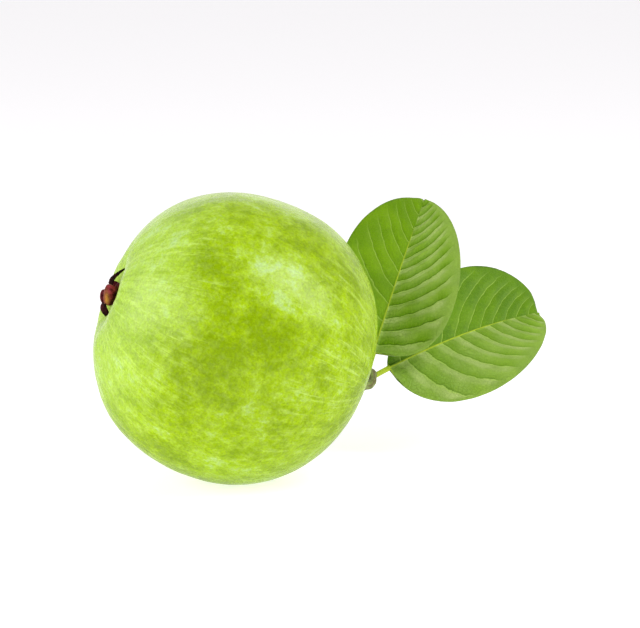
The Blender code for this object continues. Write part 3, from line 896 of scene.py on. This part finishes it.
def make_leaf(name, leaf, top_material, under_material):
    grid = leaf_grids(leaf)
    x, y = grid["x"], grid["y"]
    along = np.clip(x / leaf["length"], 0.0, 1.0)
    midrib = bell(y, MIDRIB_TIP_WIDTH + MIDRIB_WIDENING * (1.0 - along))
    rib_colour = midrib * np.interp(along, RIB_COLOUR_END, (1.0, 0.0))
    flat = np.stack([x, y * grid["side"], np.zeros_like(x)], axis=-1)
    top, bottom = leaf_heights(grid, flat, midrib)
    edge = np.clip((1.0 - grid["out"]) * LEAF_RIM_SHARPNESS, LEAF_RIM_SHARE, 1.0)
    half = (top - bottom) / 2.0 * edge
    middle = (top + bottom) / 2.0
    normals = grid_normals(grid["middle"])
    above = grid["middle"] + normals * (middle + half)[:, :, None]
    below = grid["middle"] + normals * (middle - half)[:, :, None]
    both = np.concatenate([above.reshape(-1, 3), below.reshape(-1, 3)])
    faces, top_count = blade_faces(*x.shape)
    face_materials = np.ones(len(faces), dtype=np.int32)
    face_materials[:top_count] = 0
    read = ("phase", "on_blade", "out", "bloom", "contrast", "depth")
    attributes = {key: np.tile(grid[key].ravel(), 2) for key in read}
    attributes["flat_mm"] = np.tile(flat.reshape(-1, 3), (2, 1))
    attributes["midrib"] = np.tile(np.where(x < PETIOLE_LENGTH, 1.0, rib_colour).ravel(), 2)
    world = from_front_view(both)
    materials = [top_material, under_material]
    piece = make_piece("guava_" + name, world, faces, materials, attributes, face_materials)
    dress(piece, "leaf", name)


# Material helpers


def new_material(name, **uniform):
    """A material whose uniform values are set on the shader's own sockets."""
    made = bpy.data.materials.new(name)
    made.use_nodes = True
    tree = made.node_tree
    shader = tree.nodes["Principled BSDF"]
    for key, value in uniform.items():
        shader.inputs[key.replace("_", " ")].default_value = value
    return made, tree, shader


def add(tree, kind, inputs, **settings):
    """A node with its settings, and for each input a value or another node's output."""
    made = tree.nodes.new(kind)
    for key, value in settings.items():
        setattr(made, key, value)
    for key, value in inputs.items():
        if isinstance(value, bpy.types.NodeSocket):
            tree.links.new(value, made.inputs[key])
        else:
            made.inputs[key].default_value = value
    return made


def attribute(tree, name, output="Fac"):
    return add(tree, "ShaderNodeAttribute", {}, attribute_name=name).outputs[output]


def scaled(vector, factors):
    inputs = {0: vector, 1: factors}
    return add(vector.id_data, "ShaderNodeVectorMath", inputs, operation="MULTIPLY").outputs[0]


def split(vector):
    return add(vector.id_data, "ShaderNodeSeparateXYZ", {0: vector}).outputs


def join(tree, x, y, z):
    return add(tree, "ShaderNodeCombineXYZ", {0: x, 1: y, 2: z}).outputs[0]


def object_mm(tree):
    """The object's own coordinates in millimetres."""
    spot = add(tree, "ShaderNodeTexCoord", {}).outputs["Object"]
    return scaled(spot, (1.0 / MM, 1.0 / MM, 1.0 / MM))


def clouds(vector, size, detail=3.0, roughness=0.55, distortion=0.0):
    """Noise from 0 to 1 whose blobs are about this many millimetres."""
    inputs = {
        "Vector": vector, "Scale": 1.0 / size, "Detail": detail,
        "Roughness": roughness, "Distortion": distortion,
    }
    return add(vector.id_data, "ShaderNodeTexNoise", inputs).outputs["Fac"]


def cells(vector, size, feature="F1"):
    """Distance to scattered points about this many millimetres apart, or to the edges between them."""
    inputs = {"Vector": vector, "Scale": 1.0 / size}
    return add(vector.id_data, "ShaderNodeTexVoronoi", inputs, feature=feature).outputs["Distance"]


def maths(operation, first, second=0.0):
    """One arithmetic step on one or two values, at least one of which is a node's output."""
    tree = first.id_data if isinstance(first, bpy.types.NodeSocket) else second.id_data
    return add(tree, "ShaderNodeMath", {0: first, 1: second}, operation=operation).outputs[0]


def plus(first, second):
    return maths("ADD", first, second)


def minus(first, second):
    return maths("SUBTRACT", first, second)


def times(first, second):
    return maths("MULTIPLY", first, second)


def span(value, low, high, to_low=0.0, to_high=1.0):
    """The value's range from low to high, smoothly mapped to a new range."""
    inputs = {"Value": value, "From Min": low, "From Max": high, "To Min": to_low, "To Max": to_high}
    made = add(value.id_data, "ShaderNodeMapRange", inputs, interpolation_type="SMOOTHSTEP")
    return made.outputs["Result"]


def blend(share, first, second):
    """A mix of two colours by a share from 0 to 1."""
    made = add(share.id_data, "ShaderNodeMix", {0: share}, data_type="RGBA", clamp_factor=True)
    for key, value in ((6, first), (7, second)):
        if isinstance(value, bpy.types.NodeSocket):
            share.id_data.links.new(value, made.inputs[key])
        else:
            made.inputs[key].default_value = (*value, 1.0)
    return made.outputs[2]


def tint(colour, paint, *shares):
    """The colour with paint over it, as strongly as the product of the shares."""
    strength = shares[0]
    for share in shares[1:]:
        strength = times(strength, share)
    return blend(strength, colour, paint)


def connect(shader, colour, relief, height, strength=1.0):
    """Give the shader its colour, and bumps of this many millimetres from the relief."""
    tree = shader.id_data
    inputs = {"Height": relief, "Distance": height * MM, "Strength": strength}
    tree.links.new(colour, shader.inputs["Base Color"])
    tree.links.new(add(tree, "ShaderNodeBump", inputs).outputs["Normal"], shader.inputs["Normal"])


# Materials


def pole_lanes(own, count, length):
    """Coordinates for marks that run to the poles: how many in a radian, and how long in millimetres."""
    tree, parts = own.id_data, split(own)
    ring = join(tree, parts[0], parts[1], 0.0)
    outward = add(tree, "ShaderNodeVectorMath", {0: ring}, operation="NORMALIZE").outputs[0]
    round_axis = scaled(outward, (count, count, 0.0))
    along_axis = scaled(join(tree, 0.0, 0.0, parts[2]), (0.0, 0.0, 1.0 / length))
    return add(tree, "ShaderNodeVectorMath", {0: round_axis, 1: along_axis}).outputs[0]


def skin_mottling(tree, own, smears, flecks):
    """Cloudy patches from deep green to a pale waxy one, partly a painted highlight: free ones, smears,
    placed ones and flecks.
    """
    patches = clouds(own, 15.0, 6.0, 0.66, 0.5)
    mottling = plus(times(patches, 0.6), times(smears, 0.4))
    # The placed clouds: partly blotches, partly painted highlight and painted shade.
    mottling = plus(mottling, times(attribute(tree, "paler"), 0.13))
    mottling = plus(mottling, span(flecks, 0.3, 0.7, -0.05, 0.05))
    colour = blend(span(mottling, 0.33, 0.635), SKIN_DEEP, SKIN_PALE)
    # Painted highlight: the palest tint gathers over the placed pale clouds, where the softboxes reflect
    # on the waxy skin.
    return tint(colour, SKIN_WAX_AND_PAINTED_HIGHLIGHT, span(mottling, 0.54, 0.72))


def skin_streaks(colour, own, smears, streaks, to_pole):
    """Light and dark streaks and thin pale threads, which all fade out round the fruit's middle."""
    colour = tint(colour, SKIN_LIGHT_STREAK, span(streaks, 0.54, 0.70, 0.0, 0.48), to_pole)
    colour = tint(colour, SKIN_DARK_STREAK, span(streaks, 0.44, 0.32, 0.0, 0.35), to_pole)
    threads = clouds(pole_lanes(own, *SKIN_THREADS), 1.0, 2.0, 0.5, 0.4)
    threads = maths("ABSOLUTE", minus(threads, 0.5))
    thread = times(span(threads, 0.022, 0.0, 0.0, 0.5), span(smears, 0.42, 0.58))
    return tint(colour, SKIN_THREAD, thread, to_pole)


def skin_material():
    """Waxy green skin: cloudy patches, fine streaks towards the poles, pale dots and a fine grain."""
    made, tree, shader = new_material(
        "guava_skin", Subsurface_Weight=0.08, Subsurface_Scale=0.0015, Subsurface_Radius=(0.7, 1.0, 0.1),
        IOR=1.45, Specular_IOR_Level=0.32,
    )
    own = attribute(tree, "own_mm", "Vector")
    parts = split(own)
    smears = clouds(pole_lanes(own, *SKIN_SMEARS), 1.0, 5.0, 0.64, 0.5)
    streaks = clouds(pole_lanes(own, *SKIN_STREAKS), 1.0, 3.0, 0.6, 0.3)
    flecks = clouds(own, 2.6, 4.0, 0.7, 0.4)
    grain = clouds(own, 0.8, 2.0, 0.6)
    to_pole = span(maths("ABSOLUTE", parts[2]), *STREAK_HEIGHTS)

    colour = skin_mottling(tree, own, smears, flecks)
    colour = tint(colour, SKIN_CALYX_END, span(parts[2], *CALYX_END_HEIGHTS, 0.0, 0.4))
    colour = skin_streaks(colour, own, smears, streaks, to_pole)
    # Painted shade: the skin darkens in the basin round the calyx, as if its wall were in shade.
    ring = join(tree, parts[0], parts[1], 0.0)
    off_axis = add(tree, "ShaderNodeVectorMath", {0: ring}, operation="LENGTH").outputs["Value"]
    basin_shade = span(off_axis, *BASIN_SHADE_RADII, 0.0, 0.8)
    colour = tint(colour, SKIN_BASIN_SHADE, basin_shade, span(parts[2], *BASIN_SHADE_HEIGHTS))
    colour = tint(colour, SKIN_DOT, span(cells(own, 2.3), 0.20, 0.08), 0.15)
    inputs = {
        "Color": colour,
        "Value": span(grain, 0.3, 0.7, 0.89, 1.11),
        "Saturation": span(clouds(own, 1.9, 3.0, 0.6), 0.3, 0.7, 0.96, 1.035),
    }
    colour = add(tree, "ShaderNodeHueSaturation", inputs).outputs[0]

    tree.links.new(span(flecks, 0.3, 0.7, 0.20, 0.33), shader.inputs["Roughness"])
    pores = plus(times(grain, 0.5), times(flecks, 2.2))
    lines = times(times(streaks, 1.6), to_pole)
    connect(shader, colour, plus(pores, lines), 0.12, 0.75)
    return made


def calyx_material():
    """Dry sepals: maroon clouds, one orange place, near-black dried ones, painted shade at their feet,
    pale rims and fibres.
    """
    made, tree, shader = new_material("dry_calyx", Roughness=0.5, Specular_IOR_Level=0.06)
    own = attribute(tree, "own_mm", "Vector")
    parts = split(own)
    fibres = clouds(scaled(own, (1.0, 1.0, 0.3)), 0.45, 4.0, 0.65)
    tone = clouds(own, 2.0, 3.0, 0.55)
    warm = attribute(tree, "warm")
    colour = blend(span(tone, 0.38, 0.62), SEPAL_MAROON, SEPAL_RED)
    colour = tint(colour, SEPAL_BROWN, span(warm, 0.05, 0.7))
    colour = tint(colour, SEPAL_ORANGE, span(warm, 0.5, 1.0))
    dried = times(attribute(tree, "dark"), span(tone, 0.3, 0.7, 1.12, 0.96))
    colour = tint(colour, SEPAL_DRIED, dried)
    # Painted shade: the sepals' feet darken low in the basin, most on their lower side.
    foot = span(parts[2], *FOOT_SHADE_HEIGHTS)
    colour = tint(colour, SEPAL_FOOT_SHADE, foot, span(parts[0], *FOOT_SHADE_ACROSS, 0.25, 0.85))
    colour = tint(colour, SEPAL_FIBRE, span(fibres, 0.47, 0.32, 0.0, 0.75))
    side = maths("ABSOLUTE", attribute(tree, "side"))
    to_rim = maths("MAXIMUM", side, attribute(tree, "share"))
    rim = times(span(to_rim, 0.88, 1.0, 0.0, 0.7), span(parts[2], *RIM_HEIGHTS))
    pale = maths("MAXIMUM", rim, span(fibres, 0.56, 0.68, 0.0, 0.45))
    colour = tint(colour, SEPAL_RIM, pale, span(dried, 0.9, 0.2))
    connect(shader, colour, fibres, 0.3)
    return made


def stalk_material():
    """Green bark that browns in its furrows, with pale dots, and pale wood where it is cut."""
    made, tree, shader = new_material("green_stalk", Roughness=0.62, Specular_IOR_Level=0.4)
    spot = object_mm(tree)
    tone = clouds(spot, 2.2, 4.0, 0.6)
    fine = clouds(spot, 0.45, 3.0, 0.6)
    colour = blend(span(tone, 0.35, 0.65), BARK_DARK, BARK_PALE)
    colour = tint(colour, BARK_FURROW, span(attribute(tree, "ridge"), 0.1, -0.3, 0.0, 0.8))
    colour = tint(colour, BARK_DOT, span(cells(spot, 0.9), 0.26, 0.14), 0.6)
    wood = blend(span(fine, 0.35, 0.65), WOOD_DARK, WOOD_PALE)
    colour = blend(attribute(tree, "cut"), colour, wood)
    connect(shader, colour, fine, 0.15)
    return made


def vein_pattern(tree, flat):
    """Where a point is between two veins, from 0 at the one to 1 at the next, and how strong veins are."""
    wander = span(clouds(flat, 6.0, 4.0), 0.3, 0.7, -0.06, 0.06)
    panel = maths("FRACT", plus(attribute(tree, "phase"), wander))
    inside = span(attribute(tree, "out"), 0.97, 0.72)
    return panel, times(inside, attribute(tree, "on_blade"))


def leaf_ground(tree, flat, panel, strength, contrast):
    """Greens of the upper face, painted sheen with bare patches, and painted shade on a half and on the
    panels.
    """
    tone = clouds(flat, 16.0, 4.0, 0.6)
    patch = clouds(flat, 13.0, 2.0, 0.5)
    colour = blend(span(tone, 0.36, 0.64), LEAF_DARK, LEAF_PALE)
    # Painted shade: a half that faces away from the light is darker.
    colour = tint(colour, LEAF_HALF_SHADE, attribute(tree, "depth"), span(tone, 0.36, 0.64, 1.1, 0.6))
    # Painted sheen: each panel's side toward the tip faces up to the light and, on the half that faces the
    # light, shows a greyish waxy sheen with bare patches.
    lit_panel_side = times(span(panel, 0.3, 0.85), strength)
    bare_of_sheen = times(span(patch, 0.62, 0.36, 0.0, 0.75), contrast)
    sheen_share = times(attribute(tree, "bloom"), span(lit_panel_side, 0.0, 1.0, 0.35, 1.0))
    colour = tint(colour, LEAF_PAINTED_SHEEN, sheen_share, minus(1.05, bare_of_sheen))
    # Painted shade: each panel darkens on its side toward the leaf's base, which faces down, just past the
    # vein below it.
    panel_shade = span(panel, 0.46, 0.05, 0.0, 0.85)
    return tint(colour, LEAF_PANEL_SHADE, panel_shade, contrast, span(patch, 0.3, 0.7, 1.2, 0.7))


def stripes(count, reach, core, strongest):
    """Thin lines where the count is halfway between two whole numbers, up to their greatest strength."""
    off = maths("ABSOLUTE", minus(maths("FRACT", count), 0.5))
    return span(off, reach, core, 0.0, strongest)


def leaf_cross_lines(tree, colour, flat, panel, contrast):
    """Dark ripples along the veins, and pale rungs across from vein to vein."""
    out = attribute(tree, "out")
    wobble = span(clouds(flat, 2.5, 2.0), 0.3, 0.7, -0.3, 0.3)
    ripple = stripes(plus(times(panel, 3.0), wobble), 0.2, 0.04, 0.4)
    colour = tint(colour, LEAF_RIPPLE, ripple, span(out, 0.8, 0.2), contrast)
    rung = stripes(plus(plus(times(out, 18.0), wobble), panel), 0.14, 0.03, 0.3)
    return tint(colour, LEAF_RUNG, rung, contrast)


def leaf_top_material():
    """Leathery upper face: pale rib and veins, patches of painted sheen, painted shade beside the veins,
    ripples, rungs and a net.
    """
    made, tree, shader = new_material("leaf_upper_face", Roughness=0.45, IOR=1.45, Specular_IOR_Level=0.11)
    flat = attribute(tree, "flat_mm", "Vector")
    panel, strength = vein_pattern(tree, flat)
    contrast = times(strength, attribute(tree, "contrast"))
    grain = clouds(flat, 0.7, 3.0, 0.6)
    web = span(cells(flat, 1.2, "DISTANCE_TO_EDGE"), 0.10, 0.0)
    colour = leaf_ground(tree, flat, panel, strength, contrast)
    colour = leaf_cross_lines(tree, colour, flat, panel, contrast)
    colour = tint(colour, LEAF_WEB, web, 0.25)
    colour = tint(colour, LEAF_GRAIN, span(grain, 0.3, 0.7, 0.0, 0.2))
    colour = tint(colour, LEAF_VEIN, span(panel, 0.91, 0.965, 0.0, 0.75), strength)
    colour = tint(colour, LEAF_VEIN_SHADE, span(panel, 0.10, 0.02, 0.0, 0.75), contrast)
    colour = tint(colour, LEAF_MIDRIB, span(attribute(tree, "midrib"), 0.25, 0.8, 0.0, 0.9))
    connect(shader, colour, minus(times(grain, 0.5), times(web, 0.6)), 0.18)
    return made


def leaf_under_material():
    """Paler, duller under face with raised yellow-green veins and a downy grain."""
    made, tree, shader = new_material("leaf_under_face", Roughness=0.62, Specular_IOR_Level=0.35)
    flat = attribute(tree, "flat_mm", "Vector")
    panel, strength = vein_pattern(tree, flat)
    tone = clouds(flat, 8.0, 4.0, 0.6)
    grain = clouds(flat, 0.45, 3.0, 0.65)
    web = span(cells(flat, 1.3, "DISTANCE_TO_EDGE"), 0.12, 0.0)
    to_vein = maths("ABSOLUTE", minus(panel, 0.5))
    colour = blend(span(tone, 0.35, 0.65), UNDER_DARK, UNDER_PALE)
    colour = tint(colour, UNDER_WEB, web, 0.4)
    colour = tint(colour, UNDER_VEIN, span(to_vein, 0.43, 0.48, 0.0, 0.8), strength)
    colour = tint(colour, UNDER_MIDRIB, span(attribute(tree, "midrib"), 0.15, 0.6, 0.0, 0.9))
    connect(shader, colour, plus(times(grain, 0.5), web), 0.12)
    return made


# Stage


def make_floor():
    mesh = bpy.data.meshes.new("floor")
    signs = ((-1.0, -1.0), (1.0, -1.0), (1.0, 1.0), (-1.0, 1.0))
    mesh.from_pydata([(FLOOR_REACH * x, FLOOR_REACH * y, 0.0) for x, y in signs], [], [(0, 1, 2, 3)])
    made, tree, shader = new_material("pale_floor", Roughness=0.9, Specular_IOR_Level=0.1)
    paper = clouds(object_mm(tree), 6.0, 4.0)
    tree.links.new(blend(paper, FLOOR_DARK, FLOOR_PALE), shader.inputs["Base Color"])
    shader.inputs["Emission Color"].default_value = FLOOR_GLOW
    shader.inputs["Emission Strength"].default_value = FLOOR_GLOW_STRENGTH
    mesh.materials.append(made)
    floor = bpy.data.objects.new("floor", mesh)
    floor.visible_glossy = False
    bpy.context.scene.collection.objects.link(floor)


def view_direction(right, up, near):
    """A direction given as right, up and toward the viewer, in the world."""
    return Vector(from_front_view(np.array([right, -near, up])) - FRUIT_CENTRE).normalized()


def make_softbox(name, toward, along, size, power):
    """An area light that faces the fruit from one direction, with its length along another."""
    back = view_direction(*toward)
    length = view_direction(*along)
    length = (length - back * length.dot(back)).normalized()
    across = length.cross(back)
    data = bpy.data.lights.new(name, "AREA")
    data.shape = "RECTANGLE"
    data.size, data.size_y = size
    data.energy = power
    light = bpy.data.objects.new(name, data)
    light.location = Vector(FRUIT_CENTRE * MM) + back * SOFTBOX_DISTANCE
    light.rotation_euler = Matrix((across, length, back)).transposed().to_euler()
    bpy.context.scene.collection.objects.link(light)


def make_world():
    """A white surround, dim on the viewer's side, brightest behind the fruit, and plain white if seen."""
    world = bpy.data.worlds.new("studio")
    bpy.context.scene.world = world
    world.use_nodes = True
    tree = world.node_tree
    background = tree.nodes["Background"]
    parts = split(add(tree, "ShaderNodeTexCoord", {}).outputs["Generated"])
    away, up = parts[1], parts[2]
    surround = span(away, -0.6, 0.6, 0.12, 0.34)
    behind = times(span(away, 0.80, 0.97, 0.0, 0.7), span(up, 0.05, 0.3, 1.0, 2.2))
    seen = add(tree, "ShaderNodeLightPath", {}).outputs["Is Camera Ray"]
    strength = maths("MAXIMUM", seen, plus(surround, behind))
    background.inputs["Color"].default_value = SURROUND_COLOUR
    tree.links.new(strength, background.inputs["Strength"])


def make_camera():
    data = bpy.data.cameras.new("camera")
    data.sensor_width = SENSOR_WIDTH
    data.lens = CAMERA_LENS
    data.clip_end = CAMERA_CLIP_END
    camera = bpy.data.objects.new("camera", data)
    right, up = CAMERA_AIM
    camera.location = Vector(from_front_view(np.array([right, -CAMERA_DISTANCE, up])) * MM)
    camera.rotation_euler = (math.pi / 2.0 - VIEW_ELEVATION, 0.0, 0.0)
    bpy.context.scene.collection.objects.link(camera)
    bpy.context.scene.camera = camera


def make_stage():
    make_floor()
    make_world()
    for name, softbox in SOFTBOXES.items():
        make_softbox(name, **softbox)
    make_camera()
    view = bpy.context.scene.view_settings
    view.view_transform = "Standard"
    view.look = "None"
    view.exposure = 0.0
    view.gamma = 1.0


def main():
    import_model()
    make_fruit(skin_material())
    make_calyx(calyx_material())
    make_stalk(stalk_material())
    top, under = leaf_top_material(), leaf_under_material()
    for name, leaf in LEAVES.items():
        make_leaf(name, leaf, top, under)
    make_stage()


main()
